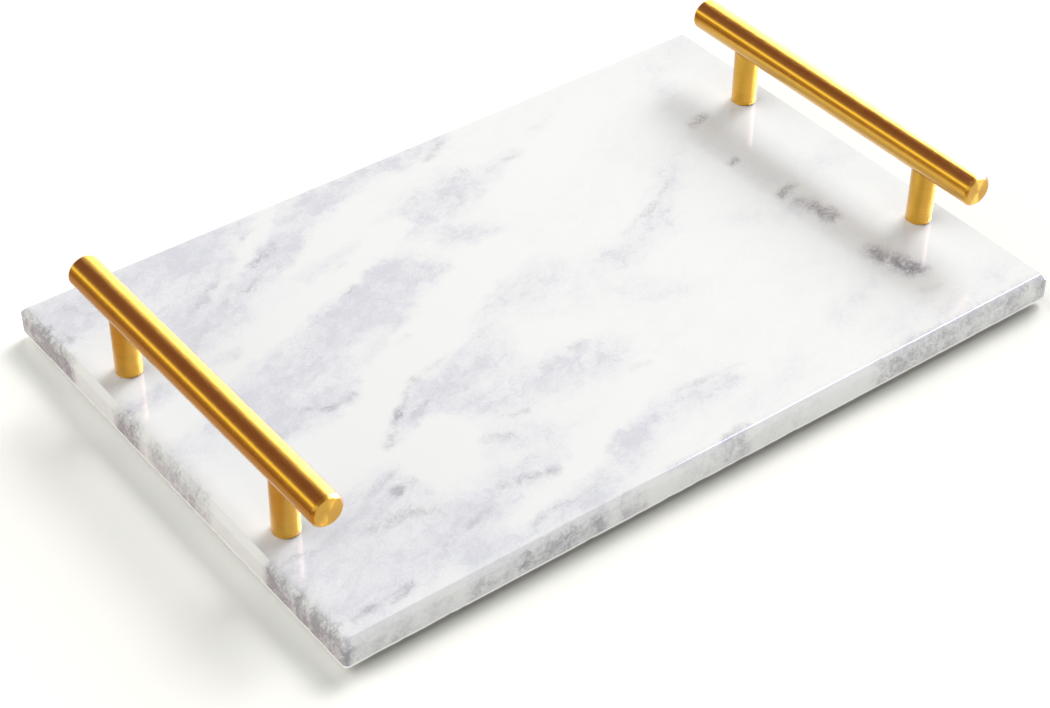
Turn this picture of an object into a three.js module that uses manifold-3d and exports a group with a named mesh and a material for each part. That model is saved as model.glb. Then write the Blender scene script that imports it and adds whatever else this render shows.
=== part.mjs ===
// Vanity tray: a polished marble slab with a round metal bar handle standing across each short end.
//
// Millimetres, +Z up. The origin is on the surface that the tray stands on, under the slab's centre.
// X runs along the slab's length, so the handles are at its -X (left) and +X (right) ends, and
// each handle bar runs along Y, from the front (-Y) to the rear (+Y).
//
// Nothing on the tray moves. From the bottom up, each handle post is held like this: a screw in a
// counterbore under the slab, a flat washer, the slab, the post, a stud, and the bar that sits in
// the post's saddle.

import * as THREE from "three";
import { mergeVertices } from "three/addons/utils/BufferGeometryUtils.js";
import Module from "manifold-3d";

const wasm = await Module();
wasm.setup();

// Driving dimensions: slab.
const SLAB_LENGTH = 300;
const SLAB_WIDTH = 200;
const SLAB_THICKNESS = 10.5;
const TOP_BEVEL = 2; // 45 degree bevel round the top edge
const BOTTOM_ARRIS = 0.5; // small 45 degree arris round the bottom edge
const CORNER_RADIUS = 1.6; // the four upright edges are eased
const STANDING_LENGTH = 240; // the flat between the handles, where things stand

// Driving dimensions: handles.
const BAR_DIAMETER = 12;
const BAR_LENGTH = 147;
const BAR_CHAMFER = 0.9;
const BAR_AXIS_HEIGHT = 26.4; // above the slab's top face
const POST_DIAMETER = 9.5;
const POST_SPACING = 96; // between the two posts' centres
const POST_CHAMFER = 0.3;
const HANDLE_INSET = 13.5; // from the slab's end to the bar's axis
const SADDLE_GAP = 0.3; // between a post's saddle and the bar

// Driving dimensions: M4 fasteners, made with plain shanks.
const THREAD_DIAMETER = 4;
const TAPPED_BORE = 4.6; // 0.3 mm clear of the shank all round, in place of the threads
const SLAB_BORE = 5;
const COUNTERBORE_DIAMETER = 11;
const COUNTERBORE_DEPTH = 5;
const WASHER_DIAMETER = 9;
const WASHER_THICKNESS = 0.8;
const SCREW_LENGTH = 16; // under the head
const HEAD_DIAMETER = 8;
const HEAD_HEIGHT = 3.1;
const CROWN_WIDTH = 1.6; // the rounded part of the head, inwards from its rim
const CROWN_HEIGHT = 1.9;
const RECESS_LENGTH = 4.4; // the cross recess in the head
const RECESS_WIDTH = 1.1;
const RECESS_DEPTH = 2;
const STUD_LENGTH = 12;
const STUD_IN_BAR = 5; // how far the stud goes into the bar
const SOCKET_RADIUS = 1.15; // hexagon socket, across the corners
const SOCKET_DEPTH = 2;
const THREAD_CHAMFER = 0.4;

// Driving dimensions: feet.
const FOOT_DIAMETER = 10;
const FOOT_HEIGHT = 2.5;
const FOOT_RIM = 1.2; // radius of the rounded lower rim
const FOOT_INSET = 20; // from the slab's sides to the foot's centre

// Facets round each kind of turned piece.
const BAR_SIDES = 48;
const POST_SIDES = 40;
const FOOT_SIDES = 24;
const WASHER_SIDES = 24;
const THREAD_SIDES = 16;
const ARC_STEPS = 4; // facets in each quarter circle of an eased edge, crown or rim
const OVERCUT = 1; // how far a cutter runs past the face that it cuts

// Worked out from the dimensions above.
const SLAB_BOTTOM = FOOT_HEIGHT;
const SLAB_TOP = SLAB_BOTTOM + SLAB_THICKNESS;
const BAR_RADIUS = BAR_DIAMETER / 2;
const POST_RADIUS = POST_DIAMETER / 2;
const HANDLE_X = SLAB_LENGTH / 2 - HANDLE_INSET;
const POST_Y = POST_SPACING / 2;
const FOOT_X = SLAB_LENGTH / 2 - FOOT_INSET;
const FOOT_Y = SLAB_WIDTH / 2 - FOOT_INSET;
const SIDES = { left: -1, right: 1 };
const ENDS = { front: -1, rear: 1 };

const marble = new THREE.MeshStandardMaterial({ color: 0xededf0, roughness: 0.15, metalness: 0 });
const brass = new THREE.MeshStandardMaterial({ color: 0xc9963a, roughness: 0.25, metalness: 1 });
const steel = new THREE.MeshStandardMaterial({ color: 0x9a9c9f, roughness: 0.4, metalness: 1 });
const rubber = new THREE.MeshStandardMaterial({ color: 0xd9dbd8, roughness: 0.6, metalness: 0 });

// A closed three.js geometry as a manifold-3d solid.
function solidFrom(geometry) {
  const bare = geometry.clone();
  bare.deleteAttribute("normal");
  bare.deleteAttribute("uv");
  const merged = mergeVertices(bare, 1e-4);
  return new wasm.Manifold(
    new wasm.Mesh({
      numProp: 3,
      vertProperties: merged.attributes.position.array,
      triVerts: new Uint32Array(merged.index.array),
    }),
  );
}

// A manifold-3d solid as a three.js geometry.
function geometryFrom(solid) {
  const { vertProperties, triVerts } = solid.getMesh();
  const geometry = new THREE.BufferGeometry();
  geometry.setAttribute("position", new THREE.BufferAttribute(vertProperties, 3));
  geometry.setIndex(new THREE.BufferAttribute(triVerts, 1));
  geometry.computeVertexNormals();
  return geometry;
}

// A solid turned about Z from [radius, height] pairs that run up the outside.
function turned(profile, sides) {
  const points = profile.map(([radius, height]) => new THREE.Vector2(radius, height));
  return new THREE.LatheGeometry(points, sides).rotateX(Math.PI / 2);
}

// An upright cylinder between two heights.
function uprightCylinder(radius, from, to, sides) {
  const height = to - from;
  const cylinder = new THREE.CylinderGeometry(radius, radius, height, sides);
  return cylinder.rotateX(Math.PI / 2).translate(0, 0, from + height / 2);
}

// Points of a profile along a rounded lower edge, from its flat bottom out to its upright side.
function quarterArc(radius, bottom, width, height) {
  return Array.from({ length: ARC_STEPS + 1 }, (_, i) => {
    const angle = ((i / ARC_STEPS) * Math.PI) / 2;
    return [radius - width + width * Math.sin(angle), bottom + height * (1 - Math.cos(angle))];
  });
}

function namedMesh(name, geometry, material, x, y, z) {
  const mesh = new THREE.Mesh(geometry, material);
  mesh.name = name;
  mesh.position.set(x, y, z);
  return mesh;
}

// A rectangle centred on the origin, with each corner rounded to the radius.
function rectangle(length, width, radius) {
  const x = length / 2 - radius;
  const y = width / 2 - radius;
  const shape = new THREE.Shape();
  if (radius === 0) {
    return shape.moveTo(-x, -y).lineTo(x, -y).lineTo(x, y).lineTo(-x, y);
  }
  const quarter = Math.PI / 2;
  shape.absarc(x, -y, radius, -quarter, 0, false);
  shape.absarc(x, y, radius, 0, quarter, false);
  shape.absarc(-x, y, radius, quarter, 2 * quarter, false);
  return shape.absarc(-x, -y, radius, 2 * quarter, 3 * quarter, false);
}

// A block on the slab's plan whose two ends are bevelled, with its straight sides from z = 0.
function bevelledBlock(bevel) {
  return new THREE.ExtrudeGeometry(rectangle(SLAB_LENGTH, SLAB_WIDTH, 0), {
    depth: SLAB_THICKNESS,
    bevelEnabled: true,
    bevelSegments: 1,
    bevelSize: bevel,
    bevelThickness: bevel,
    bevelOffset: -bevel,
  });
}

// The slab is what three blocks share: one bevelled at the slab's top, one with the smaller arris
// at its bottom, and one with the eased upright edges. Four stepped holes take the screws. The
// middle and the two ends are then joined, so that the flat where things stand has facets of its
// own, which end short of the posts.
function slab() {
  const bevelled = bevelledBlock(TOP_BEVEL).translate(0, 0, SLAB_TOP - SLAB_THICKNESS - TOP_BEVEL);
  const arrised = bevelledBlock(BOTTOM_ARRIS).translate(0, 0, SLAB_BOTTOM + BOTTOM_ARRIS);
  const eased = new THREE.ExtrudeGeometry(rectangle(SLAB_LENGTH, SLAB_WIDTH, CORNER_RADIUS), {
    depth: SLAB_THICKNESS + 2 * OVERCUT,
    bevelEnabled: false,
    curveSegments: ARC_STEPS,
  }).translate(0, 0, SLAB_BOTTOM - OVERCUT);
  let solid = solidFrom(bevelled).intersect(solidFrom(arrised)).intersect(solidFrom(eased));

  const top = SLAB_TOP + OVERCUT;
  const bottom = SLAB_BOTTOM - OVERCUT;
  const step = SLAB_BOTTOM + COUNTERBORE_DEPTH;
  for (const side of Object.values(SIDES)) {
    for (const end of Object.values(ENDS)) {
      const bore = uprightCylinder(SLAB_BORE / 2, bottom, top, WASHER_SIDES);
      const counterbore = uprightCylinder(COUNTERBORE_DIAMETER / 2, bottom, step, WASHER_SIDES);
      for (const cutter of [bore, counterbore]) {
        solid = solid.subtract(solidFrom(cutter.translate(side * HANDLE_X, end * POST_Y, 0)));
      }
    }
  }
  const middle = solidFrom(new THREE.BoxGeometry(STANDING_LENGTH, 2 * SLAB_WIDTH, 4 * SLAB_TOP));
  return geometryFrom(solid.intersect(middle).add(solid.subtract(middle)));
}

// The bar lies along Y about the origin, with a blind hole under it over each post.
function handleBar() {
  const half = BAR_LENGTH / 2;
  const profile = [
    [0, -half],
    [BAR_RADIUS - BAR_CHAMFER, -half],
    [BAR_RADIUS, -half + BAR_CHAMFER],
    [BAR_RADIUS, half - BAR_CHAMFER],
    [BAR_RADIUS - BAR_CHAMFER, half],
    [0, half],
  ];
  const points = profile.map(([radius, along]) => new THREE.Vector2(radius, along));
  let solid = solidFrom(new THREE.LatheGeometry(points, BAR_SIDES));
  const holeTop = -BAR_RADIUS + STUD_IN_BAR + 2 * SADDLE_GAP;
  for (const end of Object.values(ENDS)) {
    const hole = uprightCylinder(TAPPED_BORE / 2, -BAR_RADIUS - OVERCUT, holeTop, THREAD_SIDES);
    solid = solid.subtract(solidFrom(hole.translate(0, end * POST_Y, 0)));
  }
  return geometryFrom(solid);
}

// A post stands on z = 0. Its top is cut to a saddle for the bar, and it is tapped right through.
function post() {
  const top = BAR_AXIS_HEIGHT;
  const blank = turned(
    [
      [0, 0],
      [POST_RADIUS - POST_CHAMFER, 0],
      [POST_RADIUS, POST_CHAMFER],
      [POST_RADIUS, top],
      [0, top],
    ],
    POST_SIDES,
  );
  const saddleRadius = BAR_RADIUS + SADDLE_GAP;
  const saddleLength = POST_DIAMETER + 2 * OVERCUT;
  const saddle = new THREE.CylinderGeometry(saddleRadius, saddleRadius, saddleLength, BAR_SIDES);
  saddle.translate(0, 0, BAR_AXIS_HEIGHT);
  const bore = uprightCylinder(TAPPED_BORE / 2, -OVERCUT, top + OVERCUT, THREAD_SIDES);
  return geometryFrom(solidFrom(blank).subtract(solidFrom(saddle)).subtract(solidFrom(bore)));
}

// The stud stands on z = 0, with a hexagon socket in its lower end.
function stud() {
  const radius = THREAD_DIAMETER / 2;
  const blank = turned(
    [
      [0, 0],
      [radius - THREAD_CHAMFER, 0],
      [radius, THREAD_CHAMFER],
      [radius, STUD_LENGTH - THREAD_CHAMFER],
      [radius - THREAD_CHAMFER, STUD_LENGTH],
      [0, STUD_LENGTH],
    ],
    THREAD_SIDES,
  );
  const socket = uprightCylinder(SOCKET_RADIUS, -OVERCUT, SOCKET_DEPTH, 6);
  return geometryFrom(solidFrom(blank).subtract(solidFrom(socket)));
}

// A pan head screw that points up, with the head's bearing face at z = 0 and its crown below.
function screw() {
  const radius = THREAD_DIAMETER / 2;
  const headRadius = HEAD_DIAMETER / 2;
  const crown = quarterArc(headRadius, -HEAD_HEIGHT, CROWN_WIDTH, CROWN_HEIGHT);
  const blank = turned(
    [
      [0, -HEAD_HEIGHT],
      ...crown,
      [headRadius, 0],
      [radius, 0],
      [radius, SCREW_LENGTH - THREAD_CHAMFER],
      [radius - THREAD_CHAMFER, SCREW_LENGTH],
      [0, SCREW_LENGTH],
    ],
    THREAD_SIDES,
  );
  let solid = solidFrom(blank);
  const depth = RECESS_DEPTH + OVERCUT;
  for (const size of [[RECESS_LENGTH, RECESS_WIDTH], [RECESS_WIDTH, RECESS_LENGTH]]) {
    const slot = new THREE.BoxGeometry(size[0], size[1], depth);
    slot.translate(0, 0, -HEAD_HEIGHT - OVERCUT + depth / 2);
    solid = solid.subtract(solidFrom(slot));
  }
  return geometryFrom(solid);
}

// A flat washer that stands on z = 0: a closed profile turned about Z.
function washer() {
  const inner = TAPPED_BORE / 2;
  const outer = WASHER_DIAMETER / 2;
  return turned(
    [
      [inner, 0],
      [outer, 0],
      [outer, WASHER_THICKNESS],
      [inner, WASHER_THICKNESS],
      [inner, 0],
    ],
    WASHER_SIDES,
  );
}

// A stuck-on foot with a flat sole and a rounded lower rim.
function foot() {
  const radius = FOOT_DIAMETER / 2;
  const rim = quarterArc(radius, 0, FOOT_RIM, FOOT_RIM);
  return turned([[0, 0], ...rim, [radius, FOOT_HEIGHT], [0, FOOT_HEIGHT]], FOOT_SIDES);
}

const tray = new THREE.Group();
tray.add(namedMesh("marble_slab", slab(), marble, 0, 0, 0));

// Each handle is a group that stands on the slab's top face.
const postBlank = post();
const studBlank = stud();
const screwBlank = screw();
const washerBlank = washer();
const counterboreRoof = SLAB_BOTTOM + COUNTERBORE_DEPTH - SLAB_TOP;
const washerBase = counterboreRoof - WASHER_THICKNESS;
const studBase = BAR_AXIS_HEIGHT - BAR_RADIUS + STUD_IN_BAR - STUD_LENGTH;
for (const [side, sign] of Object.entries(SIDES)) {
  const handle = new THREE.Group();
  handle.position.set(sign * HANDLE_X, 0, SLAB_TOP);
  handle.add(namedMesh(`${side}_handle_bar`, handleBar(), brass, 0, 0, BAR_AXIS_HEIGHT));
  for (const [end, toward] of Object.entries(ENDS)) {
    const place = `${side}_${end}`;
    const y = toward * POST_Y;
    handle.add(namedMesh(`${place}_post`, postBlank, brass, 0, y, 0));
    handle.add(namedMesh(`${place}_stud`, studBlank, steel, 0, y, studBase));
    handle.add(namedMesh(`${place}_washer`, washerBlank, steel, 0, y, washerBase));
    handle.add(namedMesh(`${place}_screw`, screwBlank, steel, 0, y, washerBase));
  }
  tray.add(handle);
}

const footBlank = foot();
for (const [side, sign] of Object.entries(SIDES)) {
  for (const [end, toward] of Object.entries(ENDS)) {
    const name = `${side}_${end}_foot`;
    tray.add(namedMesh(name, footBlank, rubber, sign * FOOT_X, toward * FOOT_Y, 0));
  }
}

export default tray;
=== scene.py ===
"""Marble vanity tray with two brushed-gold bar handles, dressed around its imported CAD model."""

import math

import bpy
from mathutils import Matrix, Vector, noise


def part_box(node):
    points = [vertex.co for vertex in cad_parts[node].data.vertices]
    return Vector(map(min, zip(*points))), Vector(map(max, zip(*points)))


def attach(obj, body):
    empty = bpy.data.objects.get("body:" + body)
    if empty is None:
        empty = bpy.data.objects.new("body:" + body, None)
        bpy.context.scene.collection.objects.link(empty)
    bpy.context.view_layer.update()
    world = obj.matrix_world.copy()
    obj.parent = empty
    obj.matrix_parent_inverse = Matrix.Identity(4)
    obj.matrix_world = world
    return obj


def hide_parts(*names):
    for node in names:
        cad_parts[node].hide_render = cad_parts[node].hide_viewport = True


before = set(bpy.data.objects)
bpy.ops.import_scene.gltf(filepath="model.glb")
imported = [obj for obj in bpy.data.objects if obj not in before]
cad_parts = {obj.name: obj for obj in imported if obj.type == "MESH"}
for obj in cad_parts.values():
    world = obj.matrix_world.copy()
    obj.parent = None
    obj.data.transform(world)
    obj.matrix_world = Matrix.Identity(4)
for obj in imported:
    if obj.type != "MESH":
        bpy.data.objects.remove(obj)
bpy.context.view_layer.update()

MM = 0.001  # lengths below are in millimetres times MM, so in metres
SIDES = ("left", "right")
ENDS = ("front", "rear")
WHITE = (1.0, 1.0, 1.0)


# Places and sizes that the frame gives.
slab_low, slab_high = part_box("marble_slab")
SLAB_TOP = slab_high.z
SLAB_BOTTOM = slab_low.z
SLAB_HALF = Vector((slab_high.x, slab_high.y))


def centre_of(node):
    low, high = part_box(node)
    return (low + high) / 2


def radius_of(node):
    """Half of a node's width along X: the radius of an upright or Y-wise turned piece."""
    low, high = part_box(node)
    return (high.x - low.x) / 2


# Details finer than the CAD model's.
TOP_BEVEL = 2.0 * MM
BOTTOM_ARRIS = 0.25 * MM
CORNER_RADIUS = 1.6 * MM
STONE_EDGE = 0.16 * MM  # the hand-eased radius where two polished faces meet
OUTLINE_STEP = 2.5 * MM  # between the points round the slab's plan
CHIP_BAND = 0.8 * MM  # how far up the edges the chips along the bottom reach
BAR_CHAMFER = 0.9 * MM
METAL_EDGE = 0.1 * MM
POST_CHAMFER = 0.3 * MM
SADDLE_RIM = 0.12 * MM
SEAM = 0.05 * MM  # the line that shows between a post and its bar

# Fasteners and feet.
BORE_RADIUS = 2.5 * MM
COUNTERBORE_RADIUS = 5.5 * MM
SHANK_RADIUS = 2.0 * MM
SHANK_CHAMFER = 0.4 * MM
HEAD_CROWN = 1.9 * MM  # the height over which the screw's head is rounded
HEAD_SHOULDER = 1.7 * MM  # how far in from its side the head's rounding starts
RECESS_REACH = 2.2 * MM  # each way from the screw's middle, where the recess opens
RECESS_FLOOR = 0.9 * MM  # and at its floor
RECESS_DEPTH = 2.0 * MM
RECESS_HALF_SLOT = 0.5 * MM
WASHER_HOLE = 2.3 * MM
WASHER_EDGE = 0.12 * MM
FOOT_RIM = 1.2 * MM
FOOT_DRAW = 0.05 * MM
FOOT_LIP = 0.15 * MM
FOOT_TOP_INSET = 0.2 * MM
CUT_MARGIN = 1 * MM  # how far a cutter stands out of what it cuts

# How many sides a round piece has.
BAR_SIDES = 128
POST_SIDES = 96
ROUND_SIDES = 64  # a washer or a foot
SCREW_SIDES = 48  # a screw or its hole


# ---------------------------------------------------------------- mesh helpers


def arc_between(start, corner, end, radius, steps):
    """The points of a fillet of about this radius that replaces a profile's corner."""
    start, corner, end = Vector(start), Vector(corner), Vector(end)
    back, ahead = start - corner, end - corner
    reach = min(radius, back.length * 0.45, ahead.length * 0.45)
    first, last = corner + back.normalized() * reach, corner + ahead.normalized() * reach
    points = []
    for i in range(steps + 1):
        t = i / steps
        a, b = first.lerp(corner, t), corner.lerp(last, t)
        points.append(a.lerp(b, t))
    return points


def filleted(profile, radius, steps=4):
    """A profile with every corner but its two ends rounded."""
    points = [Vector(profile[0])]
    for before, corner, after in zip(profile, profile[1:], profile[2:]):
        points += arc_between(before, corner, after, radius, steps)
    points.append(Vector(profile[-1]))
    return points


def mesh_object(name, vertices, faces, material, smooth=True):
    mesh = bpy.data.meshes.new(name)
    mesh.from_pydata([tuple(v) for v in vertices], [], faces)
    mesh.validate()
    mesh.polygons.foreach_set("use_smooth", [smooth] * len(mesh.polygons))
    mesh.materials.append(material)
    made = bpy.data.objects.new(name, mesh)
    bpy.context.scene.collection.objects.link(made)
    return made


def weighted_normals(made):
    """Keeps broad faces flat in shading, so that only the fine rounded edges turn."""
    modifier = made.modifiers.new("weighted_normals", "WEIGHTED_NORMAL")
    modifier.keep_sharp = True
    return made


def bridged(rings):
    """Faces between successive rings of vertices, which are numbered in order."""
    count = len(rings[0])
    faces = []
    for r in range(len(rings) - 1):
        low, high = r * count, (r + 1) * count
        for i in range(count):
            j = (i + 1) % count
            faces.append((low + i, low + j, high + j, high + i))
    return faces


def capped(rings, bottom, top):
    """The vertices and faces of a solid: rings bridged in order, and a fan to a point at each end."""
    count = len(rings[0])
    vertices = [v for ring in rings for v in ring] + [bottom, top]
    faces = bridged(rings)
    bottom_number, top_number = len(vertices) - 2, len(vertices) - 1
    last = (len(rings) - 1) * count
    for i in range(count):
        j = (i + 1) % count
        faces.append((bottom_number, j, i))
        faces.append((top_number, last + i, last + j))
    return vertices, faces


def turned(name, profile, sides, material, place=Matrix()):
    """A solid turned about Z from (radius, height) points, the first and last on the axis."""
    rings = []
    for radius, height in profile[1:-1]:
        angles = (2 * math.pi * i / sides for i in range(sides))
        rings.append([Vector((radius * math.cos(a), radius * math.sin(a), height)) for a in angles])
    bottom, top = Vector((0, 0, profile[0][1])), Vector((0, 0, profile[-1][1]))
    vertices, faces = capped(rings, bottom, top)
    return weighted_normals(mesh_object(name, [place @ v for v in vertices], faces, material))


def cut(made, cutter):
    """Takes the cutter's solid out of the piece, for good."""
    modifier = made.modifiers.new("cut", "BOOLEAN")
    modifier.operation = "DIFFERENCE"
    modifier.solver = "EXACT"
    modifier.object = cutter
    made.modifiers.move(len(made.modifiers) - 1, 0)
    depsgraph = bpy.context.evaluated_depsgraph_get()
    for other in list(made.modifiers):
        other.show_viewport = other == modifier
    depsgraph.update()
    mesh = bpy.data.meshes.new_from_object(made.evaluated_get(depsgraph))
    made.modifiers.remove(modifier)
    for other in made.modifiers:
        other.show_viewport = True
    made.data = mesh
    bpy.data.objects.remove(cutter)


# ---------------------------------------------------------------- node helpers


def new_material(name):
    """A material with its node tree and its Principled shader."""
    material = bpy.data.materials.new(name)
    material.use_nodes = True
    tree = material.node_tree
    return material, tree, tree.nodes["Principled BSDF"]


def set_inputs(tree, made, inputs):
    for key, value in inputs.items():
        socket = made.inputs[key]
        if isinstance(value, bpy.types.NodeSocket):
            tree.links.new(value, socket)
        else:
            socket.default_value = value


def node(tree, kind, inputs=(), **settings):
    """A node with its properties set, and its inputs set to values or linked to sockets."""
    made = tree.nodes.new(kind)
    for key, value in settings.items():
        setattr(made, key, value)
    set_inputs(tree, made, dict(inputs))
    return made


def maths(tree, operation, first, second=0.0, third=0.0):
    values = {0: first, 1: second, 2: third}
    return node(tree, "ShaderNodeMath", values, operation=operation).outputs[0]


def vector_maths(tree, operation, first, second=(0, 0, 0)):
    made = node(tree, "ShaderNodeVectorMath", {0: first, 1: second}, operation=operation)
    single = operation in ("DOT_PRODUCT", "DISTANCE")
    return made.outputs["Value" if single else "Vector"]


def scaled(tree, vector, scale):
    made = node(tree, "ShaderNodeVectorMath", {0: vector, "Scale": scale}, operation="SCALE")
    return made.outputs["Vector"]


def ramp(tree, value, low, high, to_low=0.0, to_high=1.0, smooth=True):
    """The value from low to high mapped on to_low to to_high, and held beyond both."""
    inputs = {0: value, 1: low, 2: high, 3: to_low, 4: to_high}
    kind = "SMOOTHSTEP" if smooth else "LINEAR"
    made = node(tree, "ShaderNodeMapRange", inputs, interpolation_type=kind, clamp=not smooth)
    return made.outputs[0]


def mixed(tree, factor, first, second, blend="MIX"):
    made = node(tree, "ShaderNodeMix", data_type="RGBA", blend_type=blend, clamp_factor=True)
    for key, value in ((0, factor), (6, first), (7, second)):
        socket = made.inputs[key]
        if isinstance(value, bpy.types.NodeSocket):
            tree.links.new(value, socket)
        elif key == 0:
            socket.default_value = value
        else:
            socket.default_value = (*value, 1.0)
    return made.outputs[2]


def noise_at(tree, point, scale, detail, roughness=0.55):
    """Noise between 0 and 1, as a value and as a colour, with its scale in features a unit."""
    inputs = {"Vector": point, "Scale": scale, "Detail": detail, "Roughness": roughness}
    return node(tree, "ShaderNodeTexNoise", inputs, noise_dimensions="3D")


def shifted(tree, point, by, amount):
    """A point moved by up to half the amount each way, as a noise's colour says."""
    centred = vector_maths(tree, "SUBTRACT", by, (0.5, 0.5, 0.5))
    return vector_maths(tree, "ADD", point, scaled(tree, centred, amount))


# ---------------------------------------------------------------- marble

# Where the stone's figure runs, and a little painted shade along the right handle, in millimetres on
# the slab's plan: each streak goes from one point to another, reaches so far to each side, and is so
# strong. The figure runs right through the slab, so that it comes out on the edges below where it
# shows on top.
VEIN_ANGLE = math.radians(27)
SLOW_FOLD = 6.0  # the full width, in millimetres, within which a fold moves the figure
QUICK_FOLD = 9.0
VEIN_FOLD = 5.0
GRAIN_SCALE = (0.55, 1.0, 0.8)  # along the veins, across them and upwards
# The white line along the bottom of the edges: partly whitened, chipped stone, partly a painted
# highlight.
BRUISE_GLINT_END, BRUISE_GLINT_FULL = 0.8, 0.6  # millimetres over the bottom, before it is made ragged
# WHITE_STONE is the ground at the right, painted lighter than at the left as glare in the polish.
WHITE_STONE = (0.85, 0.85, 0.84)
LEFT_WHITE_STONE = (0.802, 0.803, 0.80)
GREY_STONE = (0.705, 0.708, 0.745)
DEEP_STONE = (0.60, 0.603, 0.655)
DARK_STONE = (0.33, 0.32, 0.36)

GREY_CLOUDS_AND_SHADE = [
    # start, end, reach, strength: the broad grey clouds, and painted shade along the right handle
    ((-150, 84), (-90, 92), 24, 1.1),
    ((-90, 90), (-66, 96), 14, 0.9),
    ((-118, 58), (-62, 74), 17, 1.1),
    ((-54, 78), (-36, 92), 15, 0.8),
    ((-118, 46), (-90, 52), 10, 0.9),
    ((-114, 32), (-102, 34), 7, 0.7),
    ((-60, 56), (-38, 58), 9, 0.6),
    ((-110, 8), (-60, 24), 24, 1.1),
    ((-62, 24), (-34, 38), 19, 1.1),
    ((-40, 36), (-22, 32), 12, 0.8),
    ((-150, 30), (-134, 32), 9, 0.9),
    ((-150, 0), (-120, 4), 17, 0.6),
    ((-116, -8), (-82, -6), 11, 1.0),
    ((-88, -31), (-66, -20), 10, 1.0),
    ((-70, -22), (-30, -16), 15, 0.95),
    ((-56, -38), (-4, -40), 17, 0.85),
    ((-62, -54), (-46, -60), 12, 0.8),
    ((-70, -70), (-50, -74), 12, 0.8),
    ((-150, -66), (-96, -52), 17, 1.1),
    ((-150, -88), (-92, -80), 20, 1.0),
    ((-86, -74), (-74, -80), 11, 0.8),
    ((-96, -94), (-54, -93), 11, 0.9),
    ((-48, -94), (-26, -82), 12, 0.75),
    ((-26, -78), (22, -75), 11, 0.8),
    ((-30, 90), (-4, 97), 12, 0.95),
    ((2, 93), (24, 98), 10, 0.9),
    ((-14, 60), (16, 68), 17, 0.95),
    ((-6, 44), (6, 38), 11, 0.85),
    ((30, 68), (44, 72), 6, 0.5),
    ((58, 80), (70, 84), 5, 0.3),
    ((-24, 2), (8, 8), 15, 0.6),
    ((0, -10), (26, -4), 20, 0.3),
    ((36, 0), (60, 4), 12, 0.55),
    ((58, 8), (84, 28), 9, 0.6),
    ((26, -20), (42, -28), 13, 0.3),
    ((82, 34), (98, 40), 11, 0.35),
    ((86, -12), (104, -16), 12, 0.4),
    ((76, -74), (104, -60), 10, 0.5),
    ((84, -92), (140, -88), 14, 0.4),
    ((20, -92), (46, -84), 12, 0.3),
    # These two run along the right handle's shadow: partly the stone's grey, partly painted shade.
    ((112, 62), (116, 74), 10, 0.5),
    ((108, 30), (112, -70), 10, 0.3),
    ((122, -4), (146, 2), 12, 0.3),
    ((120, 84), (150, 98), 14, 0.3),
    ((134, -40), (150, -60), 10, 0.25),
]

WHITE_STREAKS = [
    # start, end, reach, strength: the white bands that cross the clouds
    ((-112, -30), (-96, -28), 17, 1.2),
    ((-96, -26), (-72, -11), 13, 1.2),
    ((-72, -11), (-44, 4), 12, 1.2),
    ((-44, 4), (4, 28), 13, 1.2),
    ((-112, 29), (-84, 37), 6, 0.8),
    ((-84, 38), (-52, 47), 8, 1.0),
    ((-52, 48), (-18, 62), 9, 0.9),
    ((-92, 64), (-50, 94), 5, 0.8),
    ((-60, 64), (-22, 76), 11, 0.5),
    ((-70, 11), (-58, 14), 6, 0.8),
    ((-150, 14), (-128, 22), 10, 0.8),
    ((-146, -32), (-130, -32), 17, 1.1),
    ((-86, -50), (-68, -46), 16, 1.1),
    ((-76, -90), (-48, -80), 6, 0.7),
    ((-46, -78), (6, -56), 8, 0.9),
    ((-28, -18), (-6, -22), 11, 0.5),
    ((30, 50), (84, 80), 14, 0.6),
]

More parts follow.
